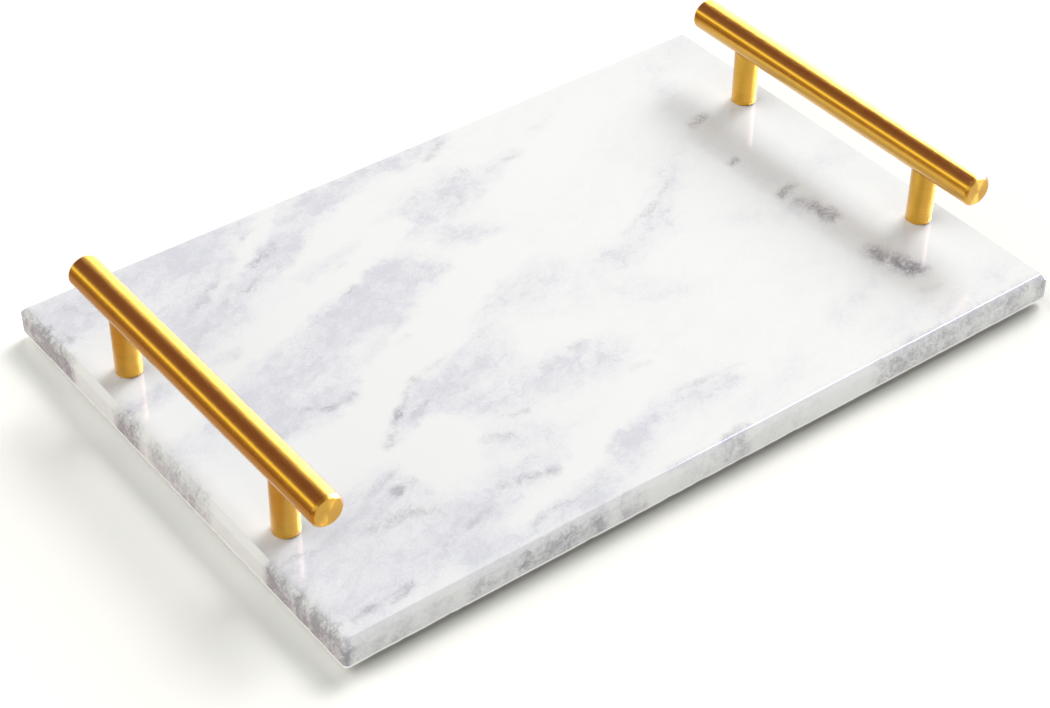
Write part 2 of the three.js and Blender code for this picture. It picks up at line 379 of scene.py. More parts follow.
DARK_VEINS_AND_SHADE = [
    # start, end, reach, strength: the dark veins and spots, and painted shade along the right handle
    ((-147, 84), (-144, 74), 5.0, 0.8),
    ((-137, 90), (-132, 82), 4.0, 0.6),
    ((-72, 73), (-60, 77), 4.0, 1.1),
    ((-104, 61), (-96, 66), 4.0, 0.7),
    ((-94, 69), (-84, 70), 3.0, 0.8),
    ((-90, 59), (-74, 63), 4.6, 0.8),
    ((-67, 65), (-61, 66), 4.0, 0.6),
    ((-68, 87), (-60, 89), 2.2, 0.8),
    ((-110, 50), (-90, 52), 4.0, 0.35),
    ((-110, 33), (-102, 34), 3.4, 0.5),
    ((-146, 29), (-138, 31), 4.0, 0.5),
    ((-54, 53), (-46, 54), 3.6, 0.55),
    ((-92, 24), (-50, 38), 7.0, 0.3),
    ((-24, 35), (-21, 29), 3.0, 0.7),
    ((-54, 39), (-51, 40), 2.6, 0.6),
    ((-56, 5), (-52, 7), 3.0, 0.5),
    ((-102, -3), (-92, -8), 4.2, 0.9),
    ((-92, -8), (-82, -7), 3.0, 0.8),
    ((-114, -10), (-104, -11), 3.4, 0.5),
    ((-38, -8), (-26, -5), 2.6, 0.5),
    ((-90, -34), (-77, -24), 4.2, 0.9),
    ((-77, -24), (-63, -13), 3.6, 0.8),
    ((-63, -13), (-48, -9), 3.0, 0.6),
    ((-72, -27), (-66, -25), 4.0, 0.8),
    ((-60, -22), (-54, -18), 4.0, 0.4),
    ((-48, -48), (-43, -49), 3.4, 0.9),
    ((-22, -38), (-8, -42), 8.0, 0.35),
    ((-12, -31), (-5, -31), 2.6, 0.7),
    ((-62, -53), (-54, -56), 4.4, 0.9),
    ((-42, -61), (-34, -63), 3.0, 0.4),
    ((-70, -72), (-54, -77), 4.0, 0.95),
    ((-108, -50), (-98, -48), 4.5, 0.7),
    ((-101, -55), (-94, -53), 4.6, 1.2),
    ((-114, -63), (-96, -67), 6.0, 0.9),
    ((-143, -59), (-136, -60), 4.0, 0.8),
    ((-146, -92), (-134, -92), 3.6, 1.1),
    ((-128, -93), (-120, -91), 4.6, 1.0),
    ((-104, -86), (-96, -82), 4.0, 0.7),
    ((-90, -80), (-82, -79), 3.6, 0.7),
    ((-72, -93), (-58, -91), 4.0, 0.8),
    ((-50, -91), (-44, -88), 3.6, 0.6),
    ((-34, -79), (-30, -77), 3.2, 0.6),
    ((-24, -97), (-4, -99), 3.6, 0.8),
    ((-2, -53), (6, -54), 4.0, 0.6),
    ((2, -71), (20, -71), 3.6, 0.6),
    ((25, -70), (32, -72), 2.4, 0.5),
    ((0, -98), (12, -97), 3.4, 0.9),
    ((14, 89), (24, 95), 3.4, 0.9),
    ((38, 69), (42, 71), 2.6, 0.6),
    ((-8, 72), (8, 62), 7.0, 0.35),
    ((-22, 6), (0, 14), 3.6, 0.35),
    ((46, 9), (66, 15), 4.2, 0.6),
    ((66, 15), (80, 28), 4.0, 0.45),
    # These six lie in a row along the right handle, where it and its posts cast shadows: partly the
    # stone's own spots, partly painted shade and reflection of the handle.
    ((110, 47), (116, 49), 5.5, 1.3),
    ((105, 19), (108, 20), 4.0, 1.4),
    ((107, -8), (114, -6), 5.0, 1.3),
    ((111, -16), (112, -28), 6.5, 1.6),
    ((110, -54), (114, -68), 9.0, 1.9),
    ((108, -80), (114, -82), 5.0, 0.5),
]

EDGE_STREAKS = [
    # start, end, reach, strength: the dark stone along the left and front edges, placed just
    # outside the slab so that it shows mostly on them
    ((-153, 98), (-153, 66), 9.0, 2.9),
    ((-153, 31), (-153, 23), 9.0, 2.7),
    ((-153, 10), (-153, -20), 9.0, 1.7),
    ((-153, -59), (-153, -65), 7.0, 3.6),
    ((-153, -74), (-153, -98), 8.0, 2.6),
    ((-150, -103), (-112, -103), 6.0, 1.4),
    ((-104, -103), (-84, -103), 6.0, 1.6),
    ((-80, -103), (-52, -103), 6.5, 1.8),
    ((-43, -103), (-36, -103), 6.0, 1.5),
    ((2, -103), (8, -103), 6.5, 1.7),
    ((14, -103), (40, -103), 6.0, 0.9),
    ((70, -103), (146, -103), 10.0, 1.6),
]


def streak_group():
    """A node group that adds a streak to a sum: its strength in its middle, nothing at its edge."""
    tree = bpy.data.node_groups.new("stone_and_shade_streak", "ShaderNodeTree")
    for name in ("Point", "Start", "Along", "Scaled Along"):
        tree.interface.new_socket(name, in_out="INPUT", socket_type="NodeSocketVector")
    for name in ("Reach", "Strength", "Sum"):
        tree.interface.new_socket(name, in_out="INPUT", socket_type="NodeSocketFloat")
    tree.interface.new_socket("Sum", in_out="OUTPUT", socket_type="NodeSocketFloat")
    given = tree.nodes.new("NodeGroupInput").outputs

    # The nearest point of the streak's middle line is a share of the way along it. Minimum and
    # maximum hold that share between 0 and 1: Cycles runs short of room for so many streaks if
    # they clamp it instead.
    offset = vector_maths(tree, "SUBTRACT", given["Point"], given["Start"])
    share = vector_maths(tree, "DOT_PRODUCT", offset, given["Scaled Along"])
    share = maths(tree, "MINIMUM", maths(tree, "MAXIMUM", share, 0.0), 1.0)
    distance = vector_maths(tree, "DISTANCE", offset, scaled(tree, given["Along"], share))
    amount = ramp(tree, distance, 0.0, given["Reach"], given["Strength"], 0.0)
    result = tree.nodes.new("NodeGroupOutput")
    tree.links.new(maths(tree, "ADD", given["Sum"], amount), result.inputs["Sum"])
    return tree


def streaks(tree, group, point, rows):
    """The sum of a list of streaks at a point on the slab's plan."""
    total = 0.0
    for start, end, reach, strength in rows:
        along = Vector((*end, 0.0)) - Vector((*start, 0.0))
        inputs = {
            "Point": point,
            "Start": (*start, 0.0),
            "Along": along,
            "Scaled Along": along / along.length_squared,
            "Reach": reach,
            "Strength": strength,
            "Sum": total,
        }
        made = tree.nodes.new("ShaderNodeGroup")
        made.node_tree = group
        set_inputs(tree, made, inputs)
        total = made.outputs["Sum"]
    return total


def swing(tree, noise_value, amount):
    """A noise value turned into a swing about nought, of about this much each way."""
    return maths(tree, "MULTIPLY_ADD", noise_value, 4.0 * amount, -2.0 * amount)


def folded_stone(tree, point):
    """The point as folds in the stone move it: on the slab's plan for the clouds, on the plan and
    less far for the veins, and turned and stretched along the veins for the grain."""
    slow = noise_at(tree, point, scale=0.03, detail=2.0, roughness=0.5).outputs["Color"]
    quick = noise_at(tree, point, scale=0.17, detail=5.0, roughness=0.62).outputs["Color"]
    bent = shifted(tree, point, slow, SLOW_FOLD)
    folded = shifted(tree, bent, quick, QUICK_FOLD)
    plan = vector_maths(tree, "MULTIPLY", folded, (1.0, 1.0, 0.0))
    vein_point = shifted(tree, bent, quick, VEIN_FOLD)
    vein_plan = vector_maths(tree, "MULTIPLY", vein_point, (1.0, 1.0, 0.0))
    turn = node(tree, "ShaderNodeMapping", {0: folded, 2: (0, 0, -VEIN_ANGLE)})
    grain = vector_maths(tree, "MULTIPLY", turn.outputs[0], GRAIN_SCALE)
    return plan, vein_plan, grain


def broken_clouds(tree, greyness, swings, wisp_swing):
    """How far a point is in the clouds and how deep in them. The streaks get soft, broken outlines
    and are mottled in themselves, and the white stone between them is quieter."""
    liveliness = ramp(tree, greyness, -0.2, 1.0, 0.35, 1.0)
    broken = maths(tree, "MULTIPLY_ADD", swings, liveliness, greyness)
    clouds = ramp(tree, broken, -0.25, 1.1)
    depth = ramp(tree, maths(tree, "ADD", broken, wisp_swing), 0.55, 1.7)
    return clouds, depth


def crystal_grain(tree, crystals, clouds, colour):
    """The colour with a salt-and-pepper grain that is strongest in the clouds."""
    speck = ramp(tree, crystals, 0.3, 0.7, -1.0, 1.0, smooth=False)
    weight = maths(tree, "MULTIPLY_ADD", clouds, 0.07, 0.006)
    gain = maths(tree, "MULTIPLY_ADD", speck, weight, 1.0)
    shade = node(tree, "ShaderNodeCombineColor", {0: gain, 1: gain, 2: gain}).outputs[0]
    return mixed(tree, 1.0, colour, shade, blend="MULTIPLY")


def arris_bruise_and_glint(tree, point, grit, colour):
    """The colour, turned white in a ragged line along the bottom of the edges: partly the whitened
    stone of a chipped arris, partly a painted highlight of the light that the edge catches. The slab's
    bottom face lies below that line, so it is white all over and shows none of the figure."""
    height = node(tree, "ShaderNodeSeparateXYZ", {0: point}).outputs[2]
    ragged = maths(tree, "MULTIPLY_ADD", grit, -0.7, height)
    bottom = SLAB_BOTTOM / MM
    bruise_and_glint = ramp(tree, ragged, bottom + BRUISE_GLINT_END, bottom + BRUISE_GLINT_FULL, smooth=False)
    return mixed(tree, bruise_and_glint, colour, WHITE)


def marble():
    """Polished white marble with lavender-grey clouds, dark veins and fine crystal grain. Shade along
    the right handle, glare towards the right and a highlight along the bottom of the edges are painted
    in.
    """
    material, tree, shader = new_material("polished_marble")
    place = tree.nodes.new("ShaderNodeTexCoord").outputs["Object"]
    point = scaled(tree, place, 1 / MM)

    plan, vein_plan, grain = folded_stone(tree, point)
    cloud = noise_at(tree, grain, scale=0.07, detail=5.0, roughness=0.55).outputs[0]
    wisps = noise_at(tree, grain, scale=0.22, detail=6.0, roughness=0.65).outputs[0]
    grit = noise_at(tree, grain, scale=0.95, detail=3.0, roughness=0.6).outputs[0]
    crystals = noise_at(tree, point, scale=2.4, detail=2.0, roughness=0.6).outputs[0]
    cloud_swing = swing(tree, cloud, 0.3)
    wisp_swing = swing(tree, wisps, 0.5)
    grit_swing = swing(tree, grit, 0.34)

    group = streak_group()
    grey = streaks(tree, group, plan, GREY_CLOUDS_AND_SHADE)
    white = streaks(tree, group, plan, WHITE_STREAKS)
    dark = streaks(tree, group, vein_plan, DARK_VEINS_AND_SHADE + EDGE_STREAKS)

    greyness = maths(tree, "SUBTRACT", maths(tree, "MINIMUM", grey, 1.2), white)
    swings = maths(tree, "ADD", maths(tree, "ADD", cloud_swing, wisp_swing), grit_swing)
    clouds, depth = broken_clouds(tree, greyness, swings, wisp_swing)

    # Veins and spots, and the painted shade along the right handle, broken up into crystals.
    breaks = ramp(tree, maths(tree, "ADD", wisp_swing, grit_swing), -0.6, 0.6, 0.3, 1.45)
    veins_and_shade = ramp(tree, maths(tree, "MULTIPLY", dark, breaks), 0.0, 2.5)

    # The ground between the clouds is painted whiter, and the clouds fainter, towards the right:
    # painted glare of the lamps in the polish, which washes the stone out there.
    across = node(tree, "ShaderNodeSeparateXYZ", {0: point}).outputs[0]
    painted_glare = ramp(tree, across, -120.0, 60.0)
    ground_with_glare = mixed(tree, painted_glare, LEFT_WHITE_STONE, WHITE_STONE)
    clouds = maths(tree, "MULTIPLY", clouds, maths(tree, "MULTIPLY_ADD", painted_glare, -0.3, 1.0))
    colour = mixed(tree, clouds, ground_with_glare, GREY_STONE)
    colour = mixed(tree, maths(tree, "MULTIPLY", depth, 0.7), colour, DEEP_STONE)
    colour = mixed(tree, veins_and_shade, colour, DARK_STONE)

    colour = crystal_grain(tree, crystals, clouds, colour)
    colour = arris_bruise_and_glint(tree, point, grit, colour)
    tree.links.new(colour, shader.inputs["Base Color"])

    polish = ramp(tree, wisps, 0.3, 0.7, 0.06, 0.1, smooth=False)
    tree.links.new(polish, shader.inputs["Roughness"])
    shader.inputs["IOR"].default_value = 1.5
    shader.inputs["Specular IOR Level"].default_value = 0.4
    swell = noise_at(tree, point, scale=0.05, detail=1.0, roughness=0.5).outputs[0]
    bump = node(tree, "ShaderNodeBump", {"Strength": 0.05, "Distance": 0.2 * MM, "Height": swell})
    tree.links.new(bump.outputs[0], shader.inputs["Normal"])
    return material


# ---------------------------------------------------------------- metals and rubber

DARK_GOLD, LIGHT_GOLD = (0.75, 0.395, 0.024), (0.83, 0.465, 0.032)
DARK_STEEL, LIGHT_STEEL = (0.5, 0.5, 0.51), (0.66, 0.66, 0.65)
DARK_RUBBER, LIGHT_RUBBER = (0.66, 0.67, 0.66), (0.78, 0.79, 0.78)


def brushed_gold(name, axis):
    """Lacquered gold plate brushed round its axis ("Y" for a bar, "Z" for a post), in fine rings."""
    material, tree, shader = new_material(name)
    place = tree.nodes.new("ShaderNodeTexCoord").outputs["Object"]
    point = scaled(tree, place, 1 / MM)
    along = (0.04, 1.0, 0.04) if axis == "Y" else (0.04, 0.04, 1.0)
    rings = vector_maths(tree, "MULTIPLY", point, along)
    fine = noise_at(tree, rings, scale=4.5, detail=2.0, roughness=0.6).outputs[0]
    broad = noise_at(tree, rings, scale=0.35, detail=3.0, roughness=0.6).outputs[0]
    marks = maths(tree, "MULTIPLY_ADD", fine, 0.5, maths(tree, "MULTIPLY", broad, 0.5))

    colour = mixed(tree, ramp(tree, marks, 0.3, 0.7), DARK_GOLD, LIGHT_GOLD)
    tree.links.new(colour, shader.inputs["Base Color"])
    tree.links.new(ramp(tree, marks, 0.3, 0.7, 0.30, 0.36), shader.inputs["Roughness"])
    shader.inputs["Metallic"].default_value = 1.0
    shader.inputs["Anisotropic"].default_value = 0.9
    shader.inputs["Anisotropic Rotation"].default_value = 0.25
    shader.inputs["Coat Weight"].default_value = 0.9
    shader.inputs["Coat Roughness"].default_value = 0.24
    tangent = node(tree, "ShaderNodeTangent", direction_type="RADIAL", axis=axis)
    tree.links.new(tangent.outputs[0], shader.inputs["Tangent"])
    bump = node(tree, "ShaderNodeBump", {"Strength": 0.12, "Distance": 0.01 * MM, "Height": fine})
    tree.links.new(bump.outputs[0], shader.inputs["Normal"])
    return material


def plated_steel():
    """Zinc-plated fastener steel with faint turning marks and duller patches."""
    material, tree, shader = new_material("plated_steel")
    place = tree.nodes.new("ShaderNodeTexCoord").outputs["Object"]
    point = scaled(tree, place, 1 / MM)
    patches = noise_at(tree, point, scale=0.8, detail=4.0, roughness=0.6).outputs[0]
    colour = mixed(tree, ramp(tree, patches, 0.35, 0.65), DARK_STEEL, LIGHT_STEEL)
    tree.links.new(colour, shader.inputs["Base Color"])
    tree.links.new(ramp(tree, patches, 0.35, 0.65, 0.26, 0.42), shader.inputs["Roughness"])
    shader.inputs["Metallic"].default_value = 1.0
    rings = vector_maths(tree, "MULTIPLY", point, (1, 1, 9))
    marks = noise_at(tree, rings, scale=1.5, detail=2.0).outputs[0]
    bump = node(tree, "ShaderNodeBump", {"Strength": 0.2, "Distance": 0.02 * MM, "Height": marks})
    tree.links.new(bump.outputs[0], shader.inputs["Normal"])
    return material


def clear_rubber():
    """Frosted clear polyurethane, as stick-on bumper feet are made of."""
    material, tree, shader = new_material("frosted_rubber")
    place = tree.nodes.new("ShaderNodeTexCoord").outputs["Object"]
    point = scaled(tree, place, 1 / MM)
    frost = noise_at(tree, point, scale=2.5, detail=3.0, roughness=0.6).outputs[0]
    colour = mixed(tree, ramp(tree, frost, 0.35, 0.65), DARK_RUBBER, LIGHT_RUBBER)
    tree.links.new(colour, shader.inputs["Base Color"])
    tree.links.new(ramp(tree, frost, 0.35, 0.65, 0.38, 0.5), shader.inputs["Roughness"])
    shader.inputs["Subsurface Weight"].default_value = 0.35
    shader.inputs["Subsurface Radius"].default_value = (1.0, 1.0, 1.0)
    shader.inputs["Subsurface Scale"].default_value = 1.2 * MM
    bump = node(tree, "ShaderNodeBump", {"Strength": 0.2, "Distance": 0.05 * MM, "Height": frost})
    tree.links.new(bump.outputs[0], shader.inputs["Normal"])
    return material


# ---------------------------------------------------------------- slab


def plan_outline(inset, step, corner_steps=5):
    """Points round the slab's plan, this far in from its sides, with rounded corners."""
    radius = max(CORNER_RADIUS - inset, 0.06 * MM)
    half_x, half_y = SLAB_HALF.x - inset - radius, SLAB_HALF.y - inset - radius
    points = []
    for turn, (sx, sy) in enumerate(((1, -1), (1, 1), (-1, 1), (-1, -1))):
        centre = Vector((sx * half_x, sy * half_y))
        first = -math.pi / 2 + turn * math.pi / 2
        for i in range(corner_steps + 1):
            angle = first + (math.pi / 2) * i / corner_steps
            points.append(centre + radius * Vector((math.cos(angle), math.sin(angle))))
        span = 2 * (half_y if turn % 2 == 0 else half_x)
        onward = Vector((-math.sin(first + math.pi / 2), math.cos(first + math.pi / 2)))
        pieces = round(2 * (SLAB_HALF.y if turn % 2 == 0 else SLAB_HALF.x) / step)
        start = points[-1].copy()
        for i in range(1, pieces):
            points.append(start + onward * span * i / pieces)
    return points


def chip(point):
    """How far the bottom arris is broken back at a point on the outline, as a sawn edge is."""
    rough = noise.noise(Vector((point.x, point.y, 0.0)) / (1.7 * MM))
    large = noise.noise(Vector((point.x, point.y, 7.0)) / (9.0 * MM))
    return max(0.0, 0.35 * rough + 0.45 * large) * 0.6 * MM


def slab_piece(material):
    """The slab: faces with a 45 degree bevel on top, a rough small arris below, and eased edges."""
    profile = [
        (4 * MM, SLAB_BOTTOM),
        (BOTTOM_ARRIS, SLAB_BOTTOM),
        (0, SLAB_BOTTOM + BOTTOM_ARRIS),
        (0, SLAB_TOP - TOP_BEVEL),
        (TOP_BEVEL, SLAB_TOP),
        (6 * MM, SLAB_TOP),
    ]
    rings = []
    for inset, height in filleted(profile, STONE_EDGE, 4):
        outline = plan_outline(max(inset, 0.0), OUTLINE_STEP)
        near_arris = height < SLAB_BOTTOM + CHIP_BAND and inset < 1.2 * MM
        ring = []
        for x, y in outline:
            back = chip(Vector((x, y))) if near_arris else 0.0
            length = math.hypot(x, y)
            inward = Vector((-x / length, -y / length))
            lift = back * 0.8 * (1 - (height - SLAB_BOTTOM) / CHIP_BAND) if near_arris else 0.0
            ring.append(Vector((x, y, height + max(lift, 0.0))) + back * inward.to_3d())
        rings.append(ring)
    count = len(rings[0])
    faces = bridged(rings)
    faces.append(tuple(reversed(range(count))))
    faces.append(tuple(range((len(rings) - 1) * count, len(rings) * count)))
    vertices = [v for ring in rings for v in ring]
    slab = weighted_normals(mesh_object("polished_slab", vertices, faces, material))
    for side in SIDES:
        for end in ENDS:
            cut(slab, screw_hole(f"{side}_{end}"))
    return slab


def screw_hole(place):
    """The stepped hole of one screw: a bore right through the slab, and a counterbore below."""
    centre = centre_of(f"{place}_post")
    washer_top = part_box(f"{place}_washer")[1].z
    profile = [
        (0, SLAB_BOTTOM - CUT_MARGIN),
        (COUNTERBORE_RADIUS, SLAB_BOTTOM - CUT_MARGIN),
        (COUNTERBORE_RADIUS, washer_top),
        (BORE_RADIUS, washer_top),
        (BORE_RADIUS, SLAB_TOP + CUT_MARGIN),
        (0, SLAB_TOP + CUT_MARGIN),
    ]
    points = [Vector(p) for p in profile]
    return turned("cutter", points, SCREW_SIDES, None, Matrix.Translation((centre.x, centre.y, 0)))


# ---------------------------------------------------------------- handles


def bar_piece(side, material):
    """A handle bar: a round bar along Y with chamfered, softly rounded ends."""
    low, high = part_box(f"{side}_handle_bar")
    radius = (high.z - low.z) / 2
    half = (high.y - low.y) / 2
    profile = [
        (0, -half),
        (radius - BAR_CHAMFER, -half),
        (radius, -half + BAR_CHAMFER),
        (radius, half - BAR_CHAMFER),
        (radius - BAR_CHAMFER, half),
        (0, half),
    ]
    place = Matrix.Translation((low + high) / 2) @ Matrix.Rotation(-math.pi / 2, 4, "X")
    return turned(f"{side}_bar", filleted(profile, METAL_EDGE, 4), BAR_SIDES, material, place)


def post_piece(side, end, material):
    """A post: a round pillar whose top is a saddle that fits the bar above it."""
    name = f"{side}_{end}_post"
    foot = centre_of(name)
    bar_low, bar_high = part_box(f"{side}_handle_bar")
    bar_radius = (bar_high.z - bar_low.z) / 2
    bar_height = (bar_high.z + bar_low.z) / 2 - SLAB_TOP
    radius = radius_of(name)

    def saddle(x):
        return bar_height - math.sqrt((bar_radius + SEAM) ** 2 - x * x)

    rings = []
    for reach, height, drop in post_levels(radius):
        ring = []
        for i in range(POST_SIDES):
            angle = 2 * math.pi * i / POST_SIDES
            x, y = reach * math.cos(angle), reach * math.sin(angle)
            z = saddle(x) + drop if height is None else height
            ring.append(Vector((foot.x + x, foot.y + y, SLAB_TOP + z)))
        rings.append(ring)
    bottom, top = Vector((foot.x, foot.y, SLAB_TOP)), Vector((foot.x, foot.y, SLAB_TOP + saddle(0)))
    vertices, faces = capped(rings, bottom, top)
    return weighted_normals(mesh_object(f"{side}_{end}_pillar", vertices, faces, material))


def post_levels(radius):
    """A post's rings from its foot up: how far out each is and how high over the slab, or, where
    its height is None, how far it lies from the saddle."""
    base = [(0, 0), (radius - POST_CHAMFER, 0), (radius, POST_CHAMFER), (radius, 3 * MM)]
    levels = [(reach, height, 0) for reach, height in filleted(base, METAL_EDGE, 3)[1:]]
    levels.append((radius, None, -SADDLE_RIM))
    levels.append((radius - SADDLE_RIM / 3, None, -SADDLE_RIM / 3))
    levels.append((radius - SADDLE_RIM, None, 0))
    levels += [(radius * share, None, 0) for share in (0.75, 0.5, 0.25)]
    return levels


# ---------------------------------------------------------------- fasteners and feet


def screw_piece(place, material):
    """A pan head screw with a tapered cross recess, seen from under the slab."""
    low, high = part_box(f"{place}_screw")
    centre = centre_of(f"{place}_screw")
    head_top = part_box(f"{place}_washer")[0].z
    head = radius_of(f"{place}_screw")
    profile = [(0, low.z)]
    for i in range(9):
        angle = math.pi / 2 * i / 8
        out = head - HEAD_SHOULDER * (1 - math.sin(angle))
        profile.append((out, low.z + HEAD_CROWN * (1 - math.cos(angle))))
    profile += [(head, head_top), (SHANK_RADIUS, head_top), (SHANK_RADIUS, high.z - SHANK_CHAMFER)]
    profile += [(SHANK_RADIUS - SHANK_CHAMFER, high.z), (0, high.z)]
    points = [Vector(p) for p in profile]
    where = Matrix.Translation((centre.x, centre.y, 0))
    screw = turned(f"{place}_machine_screw", points, SCREW_SIDES, material, where)
    for quarter in range(2):
        cut(screw, recess_wing(centre, low.z, quarter))
    return screw


def recess_wing(centre, bottom, quarter):
    """One of the two crossed slots of the recess: a blade that tapers as it goes in."""
    levels = ((bottom - 0.5 * MM, RECESS_REACH), (bottom + RECESS_DEPTH, RECESS_FLOOR))
    corners = []
    for height, reach in levels:
        for sx, sy in ((-1, -1), (1, -1), (1, 1), (-1, 1)):
            corners.append(Vector((sx * reach, sy * RECESS_HALF_SLOT, height)))
    turn = Matrix.Translation((centre.x, centre.y, 0))
    turn = turn @ Matrix.Rotation(quarter * math.pi / 2 + math.radians(20), 4, "Z")
    faces = [(3, 2, 1, 0), (4, 5, 6, 7)]
    faces += [(i, (i + 1) % 4, (i + 1) % 4 + 4, i + 4) for i in range(4)]
    return mesh_object("cutter", [turn @ c for c in corners], faces, None, smooth=False)


def washer_piece(place, material):
    """A flat washer with softly rounded rims."""
    low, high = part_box(f"{place}_washer")
    centre = centre_of(f"{place}_washer")
    inner, outer = WASHER_HOLE, radius_of(f"{place}_washer")
    middle = (inner + outer) / 2
    corners = [(middle, low.z), (outer, low.z), (outer, high.z), (inner, high.z), (inner, low.z)]
    profile = filleted([*corners, (middle, low.z)], WASHER_EDGE, 3)[:-1]
    rings = []
    for radius, height in profile:
        angles = (2 * math.pi * i / ROUND_SIDES for i in range(ROUND_SIDES))
        offset = Vector((centre.x, centre.y, height))
        rings.append([offset + radius * Vector((math.cos(a), math.sin(a), 0)) for a in angles])
    rings.append(rings[0])
    vertices = [v for ring in rings[:-1] for v in ring]
    count = len(vertices)
    faces = [tuple(i % count for i in face) for face in bridged(rings)]
    return weighted_normals(mesh_object(f"{place}_flat_washer", vertices, faces, material))


def foot_piece(place, material):
    """A stick-on foot: a flat sole, a rounded rim and slightly drawn-in sides."""
    low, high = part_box(f"{place}_foot")
    centre = centre_of(f"{place}_foot")
    radius = radius_of(f"{place}_foot")
    profile = [(0, low.z)]
    for i in range(13):
        angle = math.pi / 2 * i / 12
        out = radius - FOOT_RIM + FOOT_RIM * math.sin(angle)
        profile.append((out, low.z + FOOT_RIM * (1 - math.cos(angle))))
    profile += [(radius - FOOT_DRAW, high.z - FOOT_LIP), (radius - FOOT_TOP_INSET, high.z)]
    profile.append((0, high.z))
    points = [Vector(p) for p in profile]
    where = Matrix.Translation((centre.x, centre.y, 0))
    return turned(f"{place}_bumper", points, ROUND_SIDES, material, where)


# ---------------------------------------------------------------- putting it together


def dress(piece, slot, *nodes):
    """Makes a piece stand for its CAD nodes, on the part's only body."""
    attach(piece, "root")
    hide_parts(*nodes)


def build_tray():
    stone, steel, rubber = marble(), plated_steel(), clear_rubber()
    bar_gold, post_gold = brushed_gold("brushed_gold_bar", "Y"), brushed_gold("brushed_gold_post", "Z")
    dress(slab_piece(stone), "marble", "marble_slab")
    for side in SIDES:
        bar = bar_piece(side, bar_gold)
        bar.visible_diffuse = False  # so that it casts no orange light on the white stone
        dress(bar, "brushed_gold", f"{side}_handle_bar")
        for end in ENDS:
            place = f"{side}_{end}"
            dress(post_piece(side, end, post_gold), "brushed_gold", f"{place}_post")
            dress(screw_piece(place, steel), "steel", f"{place}_screw")
            dress(washer_piece(place, steel), "steel", f"{place}_washer")
            dress(foot_piece(place, rubber), "rubber", f"{place}_foot")
            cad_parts[f"{place}_stud"].material_slots[0].material = steel


# ---------------------------------------------------------------- stage

FLOOR_COLOUR = (1.0, 0.995, 0.945, 1.0)
FLOOR_REACH = 20.0  # metres each way

# The lamps. Each is as many degrees across as its spread says.
KEY_AZIMUTH = math.radians(70.7)  # from +Y towards +X
KEY_ELEVATION = math.radians(42.5)
KEY_STRENGTH, KEY_SPREAD = 0.65, 15
WASH_STRENGTH, WASH_SPREAD = 1.9, 42
EDGE_STRENGTH, EDGE_SPREAD = 0.93, 30
EDGE_AZIMUTH = math.radians(190)
EDGE_ELEVATION = math.radians(7)

# The glowing panel on the right, in millimetres.
PANEL_GLOW = (23.0, 23.0, 58.0, 1.0)
PANEL_TOP = Vector((480, 0, 850))
PANEL_FOOT = Vector((760, 0, 30))
PANEL_FRONT = Vector((0, -500, 0))
PANEL_REAR = Vector((0, 200, 0))

# The light that falls on the pieces: from all round, and from the left behind.
ROUND_LIGHT = (0.1, 0.1, 0.1)
LEFT_LIGHT = (1.7, 1.7, 1.68)

# What the polish mirrors. A span is an angle from straight up towards +X, in degrees.
ROOM = (0.92, 0.90, 0.86)
CEILING, CEILING_SPAN = (0.225, 0.105, 0.17), (-53, 24)
LOW_WALL, LOW_WALL_SPAN = (0.3, 0.16, 0.1), (-90, -53)
STRIP, STRIP_SPAN = (1.9, 1.9, 0.9), (-73, -59)
TABLE = (0.9, 0.89, 0.85)
LEFT_TABLE = (0.60, 0.42, 0.3)
TABLE_EDGE, TABLE_EDGE_SPAN = (0.24, 0.08, 0.04), (-112, -86)

# The camera.
SENSOR_WIDTH = 36.0
LENS = 83.4
CAMERA_X = -413.7 * MM
CAMERA_Y = -524.8 * MM
CAMERA_OVER_SLAB = 524.0 * MM
CAMERA_AZIMUTH = math.radians(37.82)
CAMERA_FALL = math.radians(39.6)  # how far below the horizon it looks
CAMERA_ROLL = math.radians(0.74)


def floor():
    """A wide, plain, pale floor."""
    material, _, shader = new_material("studio_floor")
    shader.inputs["Base Color"].default_value = FLOOR_COLOUR
    shader.inputs["Roughness"].default_value = 1.0
    shader.inputs["Specular IOR Level"].default_value = 0.0
    reach = FLOOR_REACH
    corners = [(-reach, -reach, 0), (reach, -reach, 0), (reach, reach, 0), (-reach, reach, 0)]
    made = mesh_object("floor", corners, [(0, 1, 2, 3)], material, smooth=False)
    made.visible_glossy = False


def sun(name, strength, spread, azimuth=KEY_AZIMUTH, elevation=KEY_ELEVATION, glossy=False):
    """A lamp far away, this many degrees across, which the polish mirrors only if it is glossy."""
    light = bpy.data.lights.new(name, "SUN")
    light.energy = strength
    light.angle = math.radians(spread)
    made = bpy.data.objects.new(name, light)
    bpy.context.scene.collection.objects.link(made)
    made.visible_glossy = glossy
    made.rotation_mode = "QUATERNION"
    made.rotation_quaternion = pointing(azimuth, elevation).to_track_quat("Z", "Y")
    return made


